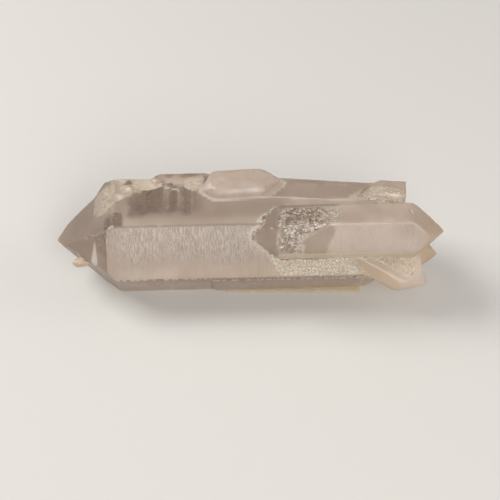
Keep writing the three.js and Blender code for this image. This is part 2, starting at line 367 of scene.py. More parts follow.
def stations_of(crystal):
    """Places along the axis for the grid's rows: even steps, closer together where an end face starts."""
    left, right, side = (np.array(crystal[key], float) for key in ("left", "right", "side"))
    fine = np.linspace(left.min() - 1, right.max() + 1, 6001)
    d = side_distances(crystal, fine)
    least = 0.03
    is_open = ((d[:, :3] + d[:, 3:]) > least).all(1)
    is_open &= (d[:, ::2].sum(1) > least) & (d[:, 1::2].sum(1) > least)
    first, last = fine[is_open][[0, -1]]
    breaks = np.concatenate([left + side / END_SLOPE, right - side / END_SLOPE, [first, last]])
    close = np.array([-0.5, -0.3, -0.15, -0.05, 0.05, 0.15, 0.3, 0.5])
    even = np.linspace(first, last, int((last - first) / crystal["rows"]) + 1)
    stations = np.sort(np.concatenate([even, (breaks[:, None] + close).ravel()]))
    stations = stations[(stations >= first) & (stations <= last)]
    keep = np.append(True, np.diff(stations) > 0.03)
    return stations[keep]


def across_steps(count):
    """Shares of a side's width for the grid's columns, closer together near both edges."""
    even = np.linspace(0, 1, count + 1)[:-1]
    eased = 0.5 - 0.5 * np.cos(math.pi * even)
    return 0.45 * even + 0.55 * eased


def growth_relief(place, side):
    """Growth lines: fine uneven steps that run round the prism, broken up across each side."""
    flat = np.stack([place[..., 0], place[..., 1] + 40 * side], -1)
    fine = soft_noise(flat, (0.42, 3.2), 11) - 0.5
    broad = soft_noise(flat, (1.3, 5.0), 12) - 0.5
    return fine + 0.8 * broad


def crystal_grid(crystal, seed, wear, growth):
    """A crystal's surface on a grid of stations along its axis and shares across its six sides, in
    millimetres. Growth lines move a point along its side's own direction, and then the edges are worn."""
    stations = stations_of(crystal)
    d = side_distances(crystal, stations)
    following = np.roll(d, -1, 1)
    corner = d[..., None] * OUTWARD[None] + ((2 * following - d) / math.sqrt(3))[..., None] * ACROSS[None]
    before = np.roll(corner, 1, 1)
    columns = np.broadcast_to(crystal["columns"], 6)
    side = np.repeat(np.arange(6), columns)
    share = np.concatenate([across_steps(count) for count in columns])
    ring = before[:, side] + (corner - before)[:, side] * share[None, :, None]
    ring[..., 0] = stations[:, None]
    width = np.linalg.norm(corner - before, axis=-1)[:, side]
    from_edge = width * np.minimum(share, 1 - share)
    on_prism = rise(np.array(crystal["side"], float)[None] - d, 0.05, 0.0)[:, side]
    has_lines = np.isin(side, crystal.get("growth", ()))
    lines = growth * (0.15 + 0.85 * has_lines) * on_prism * rise(from_edge, 0.1, 0.9)
    flat = np.stack([ring[..., 0], (ring * ACROSS[side]).sum(-1)], -1)
    ring = ring + (lines * growth_relief(flat, side))[..., None] * OUTWARD[side]
    points = ring @ turning(crystal).T + np.array(crystal["at"], float)
    return worn(points, crystal, seed, wear)


def worn(points, crystal, seed, wear):
    """Rounds and chips the edges: each point moves in by wear along every plane within reach, times how near
    the other planes are. Noise makes the wear uneven, and deeper in chips where the crystal isn't round."""
    directions, offsets = planes_of(crystal)
    reach, wear = crystal.get("round", (WEAR_REACH, wear))
    chipped = 0.0 if "round" in crystal else CHIP_DEPTH
    depth = offsets - points @ directions.T
    near = np.clip(1 - np.clip(depth, 0, None) / reach, 0, 1) ** 2
    others = np.minimum(near.sum(-1, keepdims=True) - near, 1.2)
    nicks = layered_noise(points, 1.6, seed)
    amount = wear * (0.5 + 0.8 * nicks + chipped * rise(nicks, 0.62, 0.74))
    return points - amount[..., None] * ((near * others) @ directions)


def ring_mesh(name, points):
    """A closed mesh from rows of rings: quads between neighbouring rings and a fan over each end."""
    rows, columns = points.shape[:2]
    ends = points[[0, -1]].mean(1)
    vertices = np.concatenate([points.reshape(-1, 3), ends])
    here = np.arange(rows * columns).reshape(rows, columns)
    turned = np.roll(here, -1, 1)
    quads = np.stack([here[:-1], turned[:-1], turned[1:], here[1:]], -1).reshape(-1, 4)
    first, last = rows * columns, rows * columns + 1
    start = np.stack([turned[0], here[0], np.full(columns, first)], -1)
    finish = np.stack([here[-1], turned[-1], np.full(columns, last)], -1)
    return mesh_object(name, vertices, quads.tolist() + start.tolist() + finish.tolist())


def mesh_object(name, vertices, faces):
    """Puts points and faces into a new object, with its faces turned outwards by the enclosed volume."""
    mesh = bpy.data.meshes.new(name)
    mesh.from_pydata(vertices.tolist(), [], faces)
    mesh.update()
    if enclosed(mesh) < 0:
        mesh.flip_normals()
    made = bpy.data.objects.new(name, mesh)
    bpy.context.collection.objects.link(made)
    return made


def enclosed(mesh):
    """Volume inside a closed mesh: the sum of the triangles' signed tetrahedra."""
    mesh.calc_loop_triangles()
    corners = np.empty(len(mesh.loop_triangles) * 3, int)
    mesh.loop_triangles.foreach_get("vertices", corners)
    places = np.empty(len(mesh.vertices) * 3)
    mesh.vertices.foreach_get("co", places)
    a, b, c = np.moveaxis(places.reshape(-1, 3)[corners.reshape(-1, 3)], 1, 0)
    return float((a * np.cross(b, c)).sum() / 6)


def block(name, shape, swell=0.0, seed=0):
    """A box with a grid on each of its faces, whose points move along smooth noise by swell."""
    size = np.array(shape["size"], float)
    steps = np.maximum(np.ceil(size / max(0.7, size.max() / 60)).astype(int), 2)
    x = np.linspace(-0.5, 0.5, steps[0] + 1) * size[0]
    around = box_profile(size[1], size[2], steps[1], steps[2])
    points = np.concatenate([np.broadcast_to(x[:, None, None], (len(x), len(around), 1)),
                             np.broadcast_to(around[None], (len(x), len(around), 2))], 2)
    points = points @ turn_about(2, shape["yaw"]).T + np.array(shape["at"], float)
    shake = np.stack([soft_noise(points, 1.1, seed + axis) - 0.5 for axis in range(3)], -1)
    return ring_mesh(name, points + swell * shake)


def box_profile(width, height, across, up):
    """Outline of a box's section, counted round from one corner."""
    y = np.linspace(-0.5, 0.5, across + 1)[:-1]
    z = np.linspace(-0.5, 0.5, up + 1)[:-1]
    low = np.stack([y, np.full_like(y, -0.5)], 1)
    right = np.stack([np.full_like(z, 0.5), z], 1)
    return np.concatenate([low, right, -low, -right]) * (width, height)


def flake(name, chip, seed):
    """A low ball for a flaked hollow: a ball on latitude and longitude, pushed in and out by noise."""
    rows, columns = 40, 80
    latitude = np.linspace(0.02, math.pi - 0.02, rows)[:, None]
    longitude = np.linspace(0, 2 * math.pi, columns, endpoint=False)[None]
    ball = np.stack([np.cos(latitude) * np.ones_like(longitude), np.sin(latitude) * np.cos(longitude),
                     np.sin(latitude) * np.sin(longitude)], -1)
    rough = layered_noise(ball * 3 + seed, 1.0, 50 + seed) - 0.5
    facets = np.round(layered_noise(ball * 3 - seed, 1.4, 80 + seed) * 7) / 7 - 0.5
    grainy = layered_noise(ball * 7 + seed, 1.0, 110 + seed) - 0.5
    swell = 1 + 0.12 * rough + 0.1 * facets + 0.16 * grainy
    points = ball * swell[..., None] * np.array(chip["radii"], float)
    return ring_mesh(name, points + np.array(chip["at"], float))


def face_frame(crystal, face):
    """Origin, direction along the axis, direction across, and outward direction of a side or end face."""
    spin = turning(crystal)
    at = np.array(crystal["at"], float)
    if isinstance(face, int):
        start = at + spin @ (OUTWARD[face] * crystal["side"][face])
        return start, spin[:, 0], spin @ ACROSS[face], spin @ OUTWARD[face]
    end, number = face
    slope = END_SLOPE if end == "left" else -END_SLOPE
    along = np.array([1.0, 0, 0]) + slope * OUTWARD[number]
    outward = OUTWARD[number] - slope * np.array([1.0, 0, 0])
    steep = math.hypot(1.0, END_SLOPE)
    start = at + spin @ np.array([crystal[end][number], 0.0, 0.0])
    return start, spin @ along / steep, spin @ ACROSS[number], spin @ outward / steep


def outside(crystal, points):
    """How far points lie outside a crystal: the greatest of their distances beyond its planes."""
    directions, offsets = planes_of(crystal)
    return (points @ directions.T - offsets).max(-1)


def window_edge(points):
    """How far points lie to the left of the line where the front crystal turns from clear to frosted."""
    slant = WINDOW_END + WINDOW_LEAN * np.minimum(points[..., 1] - WINDOW_TOP_EDGE, 0)
    return slant - points[..., 0]


def patch_cover(patch, points, along, down):
    """Share of a rough patch that stands proud at each point, from 0 to 1: its outline, faded at its ends."""
    sides = np.minimum.reduce([along - patch["along"][0], patch["along"][1] - along,
                               down - patch["down"][0], patch["down"][1] - down])
    return patch_outline(patch, points, along, down) * rise(sides, 0.05, 0.5)


def patch_outline(patch, points, along, down):
    """The outline of a rough patch, by the rule that it names, with a ragged border."""
    ragged = layered_noise(points, 1.5, 300) - 0.5
    rule = patch["where"]
    if rule in ROUNDED_OUTLINES:
        return rounded_outline(patch, along, down, ragged, *ROUNDED_OUTLINES[rule])
    return FREE_OUTLINES[rule](points, ragged)


def rounded_outline(patch, along, down, ragged, power, uneven):
    """A box with round corners: shares of its half length and half width, each to a power, add up to 1."""
    u = 2 * (along - patch["along"][0]) / (patch["along"][1] - patch["along"][0]) - 1
    v = 2 * (down - patch["down"][0]) / (patch["down"][1] - patch["down"][0]) - 1
    return rise(1 - (np.abs(u) ** power + np.abs(v) ** power) ** (1 / power) + uneven * ragged, 0.0, 0.25)


def window_outline(points, ragged):
    """The crazed window's front: a curved left border, and a right border that leans out towards the top."""
    x, z = points[..., 0], points[..., 2]
    first = 5.7 + 0.08 * (z - 23.2) ** 2
    last = 12.9 + 1.9 * np.maximum(z - 23.0, 0)
    inside = np.minimum.reduce([x - first, last - x, z - 19.6])
    return rise(inside + 1.2 * ragged, 0.0, 1.5)


def window_top_outline(points, ragged):
    """The crazed window's top: from a curved left border to where the crystal turns frosted."""
    x, y = points[..., 0], points[..., 1]
    inside = np.minimum(x - 6.0 - 0.12 * (y + 11.0) ** 2, -6.3 - y)
    return rise(inside + 0.8 * ragged, 0.0, 0.4) * rise(window_edge(points) + 2.4 * ragged, -0.4, 1.6)


def scar_outline(points, ragged):
    """The scar's top: everything behind a slanting line."""
    line = -1.4 + 0.62 * (points[..., 0] + 35.0)
    return rise(points[..., 1] - line + 2.6 * ragged, 0.0, 0.8)


def rim_outline(points, ragged):
    """A narrow crust on the top, close round the front crystal."""
    away = outside(CRYSTALS["front"], points)
    return rise(0.8 + 1.8 * ragged - away, 0.0, 0.4) * rise(points[..., 0], 0.0, 2.0)


def ledge_outline(points, ragged):
    """The crust below the front crystal: narrow at its left tip, then as broad as the ledge."""
    away = outside(CRYSTALS["front"], points)
    below = rise(points[..., 0], 4.0, 9.0)
    width = 0.7 + 5.1 * below + 2.2 * ragged
    end = rise(34.0 - points[..., 0], 0.0, 1.5)
    return rise(width - away, 0.0, 0.8) * end


FREE_OUTLINES = {"window": window_outline, "window_top": window_top_outline, "scar": scar_outline,
                 "rim": rim_outline, "ledge": ledge_outline}


def rough_patch(patch, seed):
    """A closed slab on a face: its upper side is the face plus a crust of small points, sunk under the face
    where the patch's rule gives no cover, and its lower side lies 1 mm inside."""
    crystal = CRYSTALS[patch["on"]]
    start, along, across, outward = face_frame(crystal, patch["face"])
    u = np.arange(patch["along"][0], patch["along"][1], patch["grid"])
    v = np.arange(patch["down"][0], patch["down"][1], patch["grid"])
    u_here, v_here = np.meshgrid(u, v, indexing="ij")
    flat = start + u_here[..., None] * along + v_here[..., None] * across
    cover = patch_cover(patch, flat, u_here, v_here)
    relief = faceted_relief(np.stack([u_here, v_here], -1), patch["cell"], seed)
    height = cover * (0.04 + patch["tall"] * relief) - 0.25 * (1 - cover)
    upper = kept_inside(flat + height[..., None] * outward, crystal, outward)
    lower = kept_inside(flat - 1.0 * outward, crystal, outward)
    return slab(patch["name"], upper, lower)


def kept_inside(points, crystal, outward):
    """Moves points that stand outside a crystal to just inside its planes, apart from the one that faces
    outward."""
    directions, offsets = planes_of(crystal)
    spare = -0.05
    same_way = 0.999
    for direction, offset in zip(directions, offsets):
        if direction @ outward < same_way:
            points = points - np.clip(points @ direction - offset - spare, 0, None)[..., None] * direction
    return points


def slab(name, upper, lower):
    """A closed mesh between an upper and a lower grid of the same shape, with walls round its edge."""
    rows, columns = upper.shape[:2]
    top = np.arange(rows * columns).reshape(rows, columns)
    under = top + rows * columns
    quads = [np.stack([top[:-1, :-1], top[1:, :-1], top[1:, 1:], top[:-1, 1:]], -1).reshape(-1, 4),
             np.stack([under[:-1, :-1], under[:-1, 1:], under[1:, 1:], under[1:, :-1]], -1).reshape(-1, 4)]
    border = np.concatenate([top[:-1, 0], top[-1, :-1], top[:0:-1, -1], top[0, :0:-1]])
    beyond = np.roll(border, -1)
    quads.append(np.stack([beyond, border, border + rows * columns, beyond + rows * columns], -1))
    vertices = np.concatenate([upper.reshape(-1, 3), lower.reshape(-1, 3)])
    return mesh_object(name, vertices, np.concatenate(quads).tolist())


def combine(base, tool, operation):
    """Joins or cuts one closed object with another, then removes the other."""
    modifier = base.modifiers.new(tool.name, "BOOLEAN")
    modifier.solver = "MANIFOLD"
    modifier.operation = operation
    modifier.object = tool
    mesh = bpy.data.meshes.new_from_object(base.evaluated_get(bpy.context.evaluated_depsgraph_get()))
    base.modifiers.clear()
    old, base.data = base.data, mesh
    bpy.data.meshes.remove(old)
    tool_mesh = tool.data
    bpy.data.objects.remove(tool)
    bpy.data.meshes.remove(tool_mesh)
    if len(mesh.polygons) == 0:
        raise RuntimeError("joining the crystals left an empty mesh")


def grown(name, order, sizes):
    """One crystal of the table as a closed object."""
    wear = sizes.edge_wear / MILLIMETRE
    growth = sizes.growth_depth / MILLIMETRE
    return ring_mesh(name, crystal_grid(CRYSTALS[name], 100 + order, wear, growth))


def joined_cluster(sizes):
    """The whole cluster in millimetres: crystals joined, hollows and ledge cut, patches and plate added."""
    order = {name: number for number, name in enumerate(CRYSTALS)}
    body = grown("main", 0, sizes)
    for name in ("back_left", "lower_front"):
        combine(body, grown(name, order[name], sizes), "UNION")
    for number, patch in enumerate(PATCHES):
        if patch["name"] in EARLY_PATCHES:
            combine(body, rough_patch(patch, 200 + number), "UNION")
    for number, chip in enumerate(CHIPS):
        combine(body, flake(f"chip_{number}", chip, number), "DIFFERENCE")
    combine(body, block("ledge", LEDGE, 0.25, 400), "DIFFERENCE")
    end = grown("back_end", order["back_end"], sizes)
    combine(end, block("broken_end", BROKEN_END, 0.5, 410), "DIFFERENCE")
    combine(body, end, "UNION")
    for name in ("back_ridge", "back_right", "front", "top_tablet", "low_right", "small_right", "nub"):
        combine(body, grown(name, order[name], sizes), "UNION")
    for number, patch in enumerate(PATCHES):
        if patch["name"] not in EARLY_PATCHES:
            combine(body, rough_patch(patch, 200 + number), "UNION")
    combine(body, block("plate", FOOT_PLATE, 0.12, 420), "UNION")
    clean(body.data)
    return body


def connected(mesh):
    """A number for each point that is the same all over one connected piece: the lowest point number, passed
    along the edges until nothing changes."""
    ends = np.empty(len(mesh.edges) * 2, int)
    mesh.edges.foreach_get("vertices", ends)
    first, second = ends.reshape(-1, 2).T
    piece = np.arange(len(mesh.vertices))
    settled = False
    while not settled:
        lowest = np.minimum(piece[first], piece[second])
        lower = piece.copy()
        np.minimum.at(lower, first, lowest)
        np.minimum.at(lower, second, lowest)
        lower = lower[lower]
        settled = bool((lower == piece).all())
        piece = lower
    return piece


def folded(shape):
    """Faces that lie back to back on the same points and enclose nothing."""
    groups = {}
    for face in shape.faces:
        groups.setdefault(frozenset(face.verts), []).append(face)
    return [face for group in groups.values() if len(group) > 1 for face in group]


def clean(mesh):
    """Leaves one tidy skin: edges too short to see are closed, folded faces and loose crumbs go, and each
    point moves by about as little, so that no two lie in one place."""
    shape = bmesh.new()
    shape.from_mesh(mesh)
    short = [edge for edge in shape.edges if edge.calc_length() < SHORTEST_EDGE]
    bmesh.ops.collapse(shape, edges=short)
    bmesh.ops.triangulate(shape, faces=[face for face in shape.faces if len(face.verts) > 3])
    bmesh.ops.delete(shape, geom=folded(shape), context="FACES")
    shape.to_mesh(mesh)
    piece = connected(mesh)
    crumbs = np.flatnonzero(piece != np.bincount(piece).argmax())
    shape.verts.ensure_lookup_table()
    bmesh.ops.delete(shape, geom=[shape.verts[number] for number in crumbs], context="VERTS")
    shape.to_mesh(mesh)
    shape.free()
    places = np.empty(len(mesh.vertices) * 3)
    mesh.vertices.foreach_get("co", places)
    places += np.random.default_rng(600).uniform(-SHORTEST_EDGE, SHORTEST_EDGE, len(places))
    mesh.vertices.foreach_set("co", places)


def box_mask(points, low, high, soft):
    """1 inside an upright box and 0 outside it, fading over the soft width."""
    inside = np.minimum(points - np.array(low, float), np.array(high, float) - points).min(-1)
    return rise(inside, -soft / 2, soft / 2)


def stroke_mask(points, strokes):
    """1 on the marks: the distance to each mark's line, against a half width that changes along it."""
    covered = np.zeros(len(points))
    for start, end, first, last in strokes:
        start, end = np.array(start), np.array(end)
        share = np.clip((points - start) @ (end - start) / ((end - start) @ (end - start)), 0, 1)
        away = np.linalg.norm(points - start - share[:, None] * (end - start), axis=-1)
        half = first + (last - first) * share
        covered = np.maximum(covered, rise(half + 0.15 - away, 0.0, 0.25))
    return covered


class Survey:
    """Where every point of the skin lies. owner: the crystal that holds it, the one that it is deepest in.
    face and beside: the nearest and second nearest of its planes. to_edge: how far the second one is."""

    def __init__(self, points):
        self.points = points
        self.x, self.y, self.z = np.moveaxis(points, -1, 0)
        self.names = list(CRYSTALS)
        self.beyond = np.stack([outside(CRYSTALS[name], points) for name in self.names], -1)
        self.owner = self.beyond.argmin(-1)
        self.face = np.zeros(len(points), int)
        self.beside = np.zeros(len(points), int)
        self.to_edge = np.zeros(len(points))
        for number, name in enumerate(self.names):
            mine = self.owner == number
            directions, offsets = planes_of(CRYSTALS[name])
            depth = np.abs(offsets - points[mine] @ directions.T)
            nearest = np.argsort(depth, -1)
            self.face[mine] = nearest[:, 0]
            self.beside[mine] = nearest[:, 1]
            self.to_edge[mine] = np.take_along_axis(depth, nearest[:, 1:2], -1)[:, 0]
        self.ragged = layered_noise(points, 2.2, 500) - 0.5
        self.body = self.on(*BODY)
        self.on_top = self.body & (self.z > TOP_LEVEL)
        self.front_face = self.body & (self.face == UPPER_FRONT)
        self.front = self.on("front")
        self.tablet = self.on("top_tablet")
        self.window = self.front * rise(window_edge(points) + 1.6 * self.ragged, -0.6, 1.0)

    def on(self, *names):
        """True on the points that the named crystals hold."""
        return np.isin(self.owner, [self.names.index(name) for name in names])

    def away_from(self, name):
        """Distance from the named crystal's surface, and far away on its own points."""
        return np.where(self.on(name), FAR_AWAY, np.abs(self.beyond[:, self.names.index(name)]))

    def on_sides(self, *sides):
        """True on the points of the given planes, whichever crystal holds them."""
        return np.isin(self.face, sides)


def strongest(*zones):
    """The greatest of several masks at each point."""
    return np.maximum.reduce(zones)


def milk_mask(here):
    """How pale the quartz is: each crystal's own milk, more low on the front, and clouds in the tablet."""
    milk = np.array([CRYSTALS[name]["milk"] for name in here.names])[here.owner]
    milk = milk + 0.4 * here.front_face * rise(here.z, 15.5, 11.5)
    return milk + here.tablet * 1.6 * (layered_noise(here.points, 1.3, 505) - 0.5)


def smoke_and_shade_mask(here):
    """How clear and dark the quartz is, with painted shade on the body's lower front side."""
    x, y, z, ragged = here.x, here.y, here.z, here.ragged
    shaken = here.points + 3.2 * ragged[:, None]
    top_left = box_mask(shaken, (-30.4, -4.8, 20), (-3.6, 12, 28), 5.0) * rise(x, -5.0, -17.0)
    beside_scar = box_mask(here.points + 0.4 * ragged[:, None], (-36.0, -8.8, 20), (-31.0, -3.2, 28), 1.0)
    lower_tip = rise(x + 0.8 * ragged, -39.5, -37.0) * rise(z, 14.5, 17.5)
    along_front = (here.points - np.array(MAIN_AXIS)) @ OUTWARD[UPPER_FRONT]
    from_line = np.abs(along_front - CRYSTALS["main"]["side"][UPPER_FRONT])
    lower_front = here.body & here.on_sides(LOWER_FRONT, LEFT_ENDS[LOWER_FRONT])
    return strongest(
        here.on_top * top_left,
        0.9 * here.body * here.on_sides(TOP, LEFT_ENDS[TOP]) * beside_scar,
        0.45 * here.on_top * rise(y, -7.5, -4.0) * rise(x, 12.0, 6.0),
        0.5 * here.on_top * (z < 23.2),
        0.6 * (here.body & here.on_sides(*LEFT_ENDS)),
        0.9 * here.body * here.on_sides(LEFT_ENDS[UPPER_FRONT]) * lower_tip,
        # Painted shade: the body's lower front side darkened, most just below its edge with the upper front side.
        lower_front * (0.3 + 0.4 * rise(from_line, 4.5, 0.0)),
        0.66 * here.window,
        0.7 * here.on("back_ridge") * rise(ragged, -0.1, 0.15))


def crust_masks(here):
    """The rough patches: where their small points catch the light, how white they are, how chipped."""
    spark = np.zeros(len(here.points))
    white = np.zeros(len(here.points))
    crust = np.zeros(len(here.points))
    for patch in PATCHES:
        start, along, across, outward = face_frame(CRYSTALS[patch["on"]], patch["face"])
        local = here.points - start
        u, v, lift = local @ along, local @ across, local @ outward
        flat = here.points - lift[:, None] * outward
        cover = patch_cover(patch, flat, u, v) * (np.abs(lift) < 0.7)
        spark = np.maximum(spark, cover * min(1.0, 0.15 + 1.8 * patch["white"]))
        white = np.maximum(white, cover * patch["white"])
        crust = np.maximum(crust, cover * (0.3 + 0.55 * patch["white"]))
    return spark, white, crust


def pocket_mask(here):
    """The flaked hollows, inside the body and below the pocket's rim."""
    pocket = np.zeros(len(here.points))
    for chip in CHIPS:
        scaled = (here.points - np.array(chip["at"], float)) / np.array(chip["radii"], float)
        pocket = np.maximum(pocket, rise(1.3 - np.linalg.norm(scaled, axis=-1), 0.0, 0.15))
    return pocket * here.body * (here.z < POCKET_RIM)


def line_mask(here):
    """Growth lines: strong on the upper left of the front, faint on its right and on the other sides."""
    x, z, ragged = here.x, here.z, here.ragged
    upper = 0.15 + 0.85 * rise(z + 3 * ragged, 13.5, 18.0)
    return strongest(
        here.front_face * rise(x, -35.5, -31.5) * upper * rise(x, 12, -4),
        0.4 * here.front_face * rise(x, -8, 4) * rise(z, 12.0, 16.0),
        0.35 * here.front * here.on_sides(UPPER_FRONT) * (1 - here.window),
        0.45 * here.body * here.on_sides(*BACK_SIDES) * rise(ragged, -0.25, 0.2),
        0.3 * here.front * here.on_sides(*BACK_SIDES))


def gold_and_warm_highlight_mask(here, pocket):
    """Faintly yellow quartz: the points at both ends, the foot, the hollows and the lower sides, and a painted
    warm highlight at the front crystal's right end.
    """
    x, z, ragged = here.x, here.z, here.ragged
    return strongest(
        0.3 * here.front * here.on_sides(LOWER_FRONT),
        0.8 * here.on("small_right"),
        0.3 * pocket,
        0.5 * here.on("nub"),
        0.4 * rise(-x + 2 * ragged, 43, 49),
        0.35 * here.front_face * rise(x, -16, 6) * rise(z, 17.0, 13.0),
        # Yellow at the front crystal's right end: its own faint yellow and a painted warm highlight.
        0.6 * here.front * rise(x + 3 * ragged, 39.5, 44),
        0.6 * rise(x, -6, 24) * rise(6.5 - z, 0.0, 5.0),
        0.6 * here.on("low_right") * here.on_sides(*FRONT_SIDES),
        0.25 * here.window * rise(x, 12.5, 15.0) * rise(25 - z, 0, 2))


def veil_mask(here):
    """Pale veils: a bell curve across each one's place, broken up by noise."""
    veil = np.zeros(len(here.points))
    for place, width in VEILS:
        veil = np.maximum(veil, np.exp(-((here.x - place - 0.5 * here.ragged) / width) ** 2))
    return veil * here.on_top * rise(here.y, -6.5, 0.5) * (0.3 + 0.7 * rise(here.ragged, -0.2, 0.2))


def ledge_line(here):
    """The light line at the foot of the ledge's wall."""
    x, z = here.x, here.z
    turned = math.radians(LEDGE["yaw"])
    toward = np.array([math.sin(turned), -math.cos(turned), 0.0])
    from_wall = np.abs((here.points - np.array(LEDGE["at"], float)) @ toward - LEDGE["size"][1] / 2)
    return rise(0.5 - from_wall, 0.0, 0.2) * (z > 22.4) * (z < 23.9) * rise(x, 2.8, 4.5) * rise(x, 29.0, 26.0)


def seam_mask(here):
    """1 close to where a seamed crystal grew out of another."""
    return 1 - rise(np.minimum.reduce([here.away_from(name) for name in SEAMED]), 0.05, 0.75)


def upper_edges(here):
    """True near the edges on either side of a crystal's top side."""
    return (np.maximum(here.face, here.beside) < 2) & (np.minimum(here.face, here.beside) == TOP)


def cream_mask(here, pocket, crust, crazed):
    """Warm chipped quartz: the hollows, crusts, seams, the front crystal's lower side and the foot."""
    return strongest(
        pocket * (0.45 + 0.55 * rise(here.x, -32.0, -29.5)),
        crust * (1 - crazed),
        0.7 * seam_mask(here),
        0.8 * here.front * here.on_sides(LOWER_FRONT),
        0.9 * rise(1.3 - here.z, 0.0, 0.4))


def frost_mask(here, pocket, crust, white):
    """White broken quartz: worn edges, crusts, hollows and seams."""
    edge = 1 - rise(here.to_edge, 0.04, 0.3)
    uneven = 0.25 + 0.75 * rise(layered_noise(here.points, 0.9, 510), 0.35, 0.6)
    worn_edge = edge * uneven * (1 - here.window)
    broken_seam = rise(layered_noise(here.points, 0.8, 520), 0.25, 0.55)
    return strongest(
        np.where(upper_edges(here), 0.15, 1.0) * worn_edge,
        white,
        0.5 * pocket,
        0.5 * crust * here.body,
        1.1 * seam_mask(here) * (1 - here.window) * broken_seam)


def marks_and_glints_mask(here):
    """White marks: lines and strokes, among them painted glints, hazes, and light borders round the front crystal
    and the tablet.
    """
    return strongest(
        ledge_line(here),
        stroke_mask(here.points, MARKS_AND_GLINTS),
        0.8 * rise(0.95 - here.away_from("front"), 0.0, 0.4) * here.body * rise(here.x, 12.0, 5.0),
        0.75 * rise(0.7 - here.away_from("top_tablet"), 0.0, 0.7) * (here.z < 24.2),
        0.35 * stroke_mask(here.points, HAZES),
        0.5 * here.tablet * rise(24.0 - here.z, 0.0, 0.3))


def painted_shade_mask(here):
    """Painted shade: dark grooves, and dark lines just inside the body's long edges."""
    inside_edge = 1 - rise(here.to_edge, 0.2, 0.42)
    next_sides = (np.abs(here.face - here.beside) == 1) * (here.face < 3) * (here.beside < 3)
    shaded_body_edge = here.body * inside_edge * next_sides
    return strongest(
        stroke_mask(here.points, SHADED_GROOVES),
        0.8 * shaded_body_edge * (upper_edges(here) | here.on_sides(LOWER_FRONT)))


def finish_masks(points):
    """The masks that the material reads, each a number from 0 to about 1 for every point. spark: small points
    that catch the light. crazed: the glassy window, where white glints are painted. matt: the hollows' dull
    floor. The rest have functions."""
    here = Survey(points)
    spark, white, crust = crust_masks(here)
    pocket = pocket_mask(here)
    crazed = here.window * spark * (1 - 0.7 * rise(here.x, 15.5, 20.5))
    return {"milk": milk_mask(here), "smoke_and_shade": smoke_and_shade_mask(here) * (1 - 0.9 * spark),
            "cream": cream_mask(here, pocket, crust, crazed), "frost": frost_mask(here, pocket, crust, white),
            "lines": line_mask(here), "spark": spark, "crazed": crazed, "gold": gold_and_warm_highlight_mask(here, pocket),
            "veil": veil_mask(here), "marks": marks_and_glints_mask(here), "painted_shade": painted_shade_mask(here),
            "matt": pocket * (1 - spark)}


def store(mesh, name, values):
    """Saves one number for every point of a mesh, for the material to read."""
    attribute = mesh.attributes.new(name, "FLOAT", "POINT")
    attribute.data.foreach_set("value", np.asarray(values, np.float32))


def cluster_skin(sizes):
    """The finished skin: the joined cluster, its masks, and its place in metres."""
    body = joined_cluster(sizes)
    mesh = body.data
    places = np.empty(len(mesh.vertices) * 3)
    mesh.vertices.foreach_get("co", places)
    points = places.reshape(-1, 3)
    for name, values in finish_masks(points).items():
        store(mesh, name, values)
    mesh.vertices.foreach_set("co", ((points - FOOT_CENTRE) * MILLIMETRE).ravel())
    mesh.update()
    mesh.polygons.foreach_set("use_smooth", np.ones(len(mesh.polygons), bool))
    mesh.set_sharp_from_angle(angle=math.radians(sizes.crease_angle_degrees))
    body.name = mesh.name = "quartz_skin"
    return body


class Wiring:
    """Adds nodes to a material's tree and joins them. An input is named, or i and its number."""

    def __init__(self, material):
        self.tree = material.node_tree
        self.nodes = self.tree.nodes

    def add(self, kind, settings=None, **inputs):
        node = self.nodes.new(kind)
        for key, value in (settings or {}).items():
            setattr(node, key, value)
        for key, value in inputs.items():
            self.put(node, key, value)
        return node

    def put(self, node, key, value):
        """Joins an output to a node's input, or sets the input's value."""
        socket = node.inputs[int(key[1:])] if key[0] == "i" and key[1:].isdigit() else node.inputs[key]
        if hasattr(value, "is_output"):
            self.tree.links.new(value, socket)
        else:
            socket.default_value = value

    def mask(self, name):
        """A number that the skin holds at each point."""
        return self.add("ShaderNodeAttribute", {"attribute_name": name}).outputs["Fac"]

    def math(self, operation, first, second=0.0, third=0.0):
        node = self.add("ShaderNodeMath", {"operation": operation}, i0=first, i1=second)
        if operation == "MULTIPLY_ADD":
            self.put(node, "i2", third)
        return node.outputs[0]

    def ramp(self, value, low, high, start=0.0, end=1.0):
        """From start at low to end at high, by an S curve."""
        node = self.add("ShaderNodeMapRange", {"interpolation_type": "SMOOTHSTEP"}, Value=value)
        self.put(node, "From Min", low)
        self.put(node, "From Max", high)
        self.put(node, "To Min", start)
        self.put(node, "To Max", end)
        return node.outputs["Result"]

    def blend(self, share, first, second):
        node = self.add("ShaderNodeMix", {"data_type": "RGBA"})
        self.put(node, "i0", share)
        self.put(node, "i6", first)
        self.put(node, "i7", second)
        return node.outputs[2]

    def stretched(self, scale):
        """Place on the object in metres, times a scale for each axis."""
        place = self.add("ShaderNodeTexCoord").outputs["Object"]
        node = self.add("ShaderNodeMapping", Vector=place)
        node.inputs["Scale"].default_value = scale
        return node.outputs["Vector"]

    def noise(self, vector, scale, detail=2.0, roughness=0.5):
        """Soft noise, its scale in lumps for each metre."""
        node = self.add("ShaderNodeTexNoise", Vector=vector, Scale=scale, Detail=detail, Roughness=roughness)
        return node.outputs["Fac"]

    def cells(self, vector, scale, output="Color"):
        """One random value, or the distance from the middle, for each cell; the scale is cells for each metre."""
        node = self.add("ShaderNodeTexVoronoi", Vector=vector, Scale=scale)
        return node.outputs[output]

    def bump(self, height, distance, strength, before=None):
        node = self.add("ShaderNodeBump", Height=height, Distance=distance, Strength=strength)
        if before is not None:
            self.put(node, "Normal", before)
        return node.outputs["Normal"]


